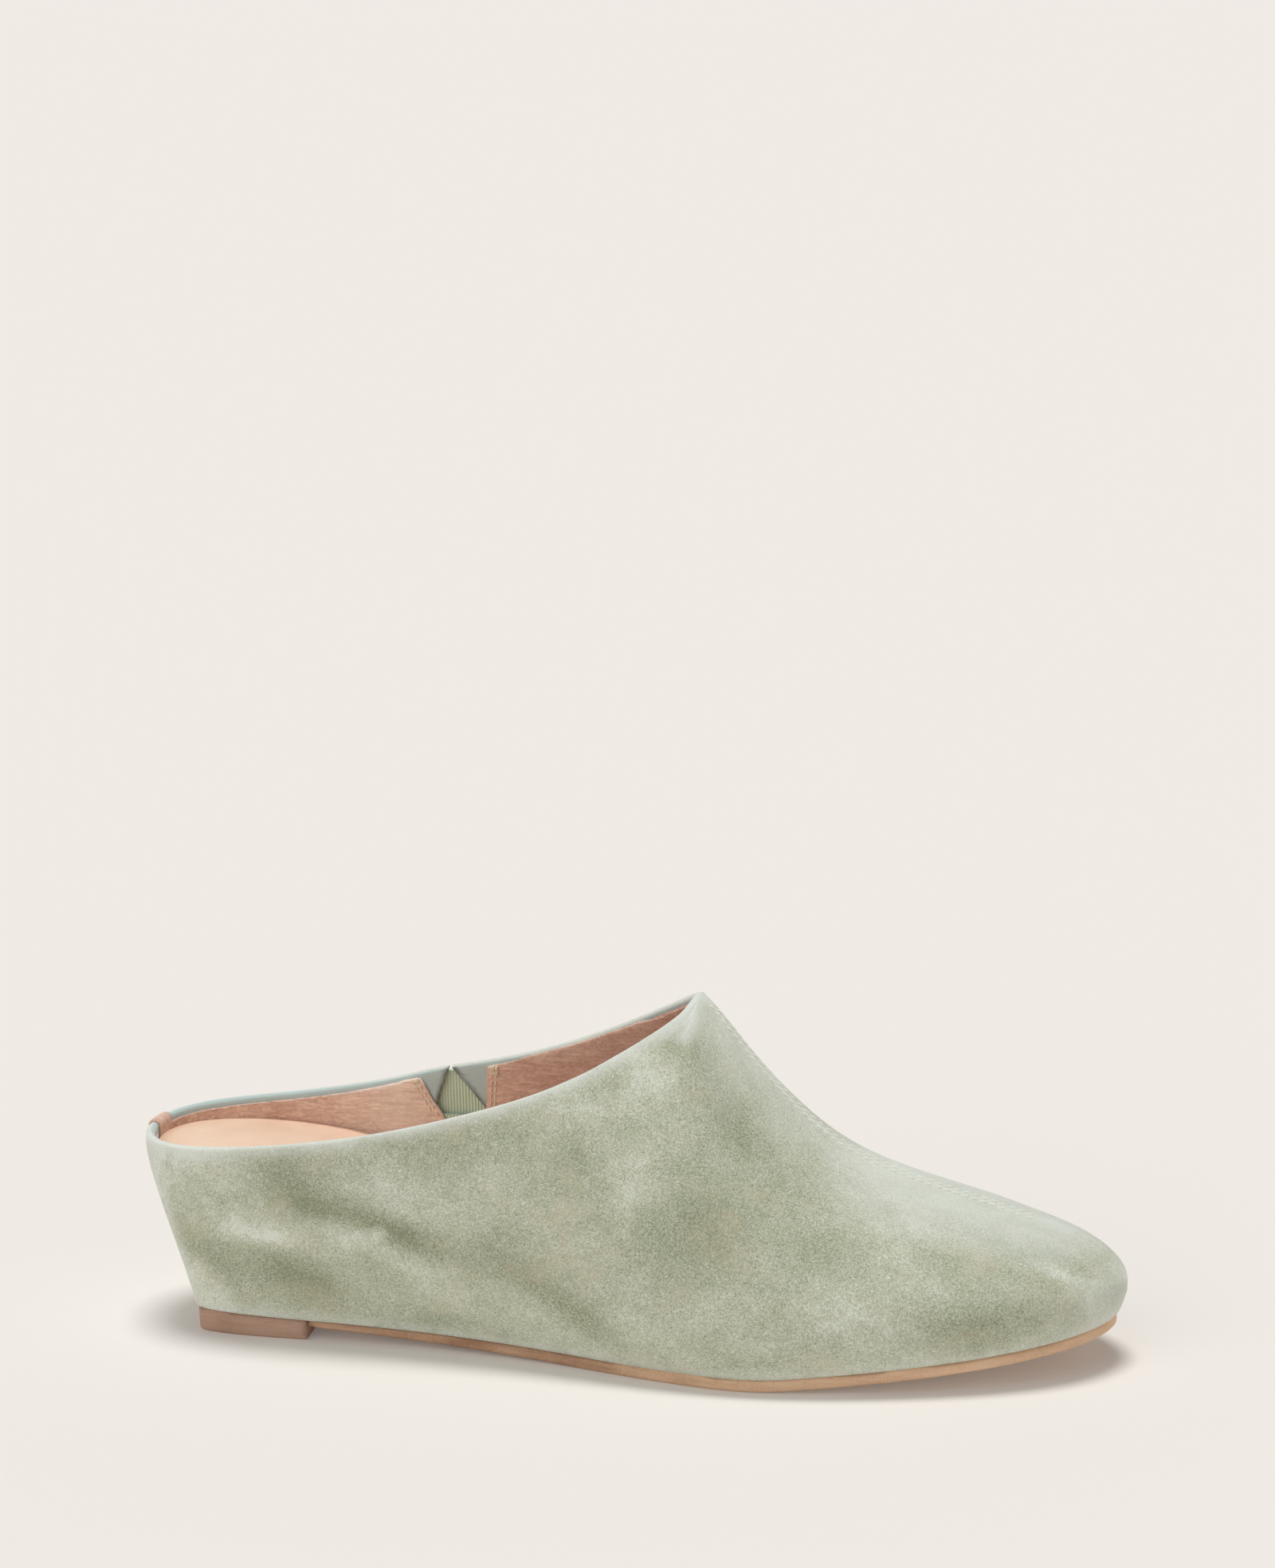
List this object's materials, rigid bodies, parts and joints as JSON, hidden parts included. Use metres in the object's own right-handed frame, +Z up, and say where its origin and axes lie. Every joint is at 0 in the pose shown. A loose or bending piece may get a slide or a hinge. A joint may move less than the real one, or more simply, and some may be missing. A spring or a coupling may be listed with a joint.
{
  "type": "wedge mule",
  "caption": "Low wedge mule with an almond toe, a high rising vamp, a low open back and a hidden wedge covered by the suede upper.",
  "frame": {"origin": "middle of the heel lift's flat underside", "axes": "+X to the toe, -Y to the outer side of the foot, +Z up"},
  "size_m": [0.2483, 0.0869, 0.0879],
  "materials": {
    "upper": "matt suede nap",
    "gore": "ribbed elastic",
    "wedge": "firm foam core",
    "insole": "smooth satin leather",
    "outsole": "matt sole leather",
    "heel_lift": "matt"
  },
  "bodies": {
    "root": {"upper": "upper", "gore": "gore", "wedge": "wedge", "insole": "insole", "outsole": "outsole", "heel_lift": "heel_lift"}
  },
  "joints": []
}
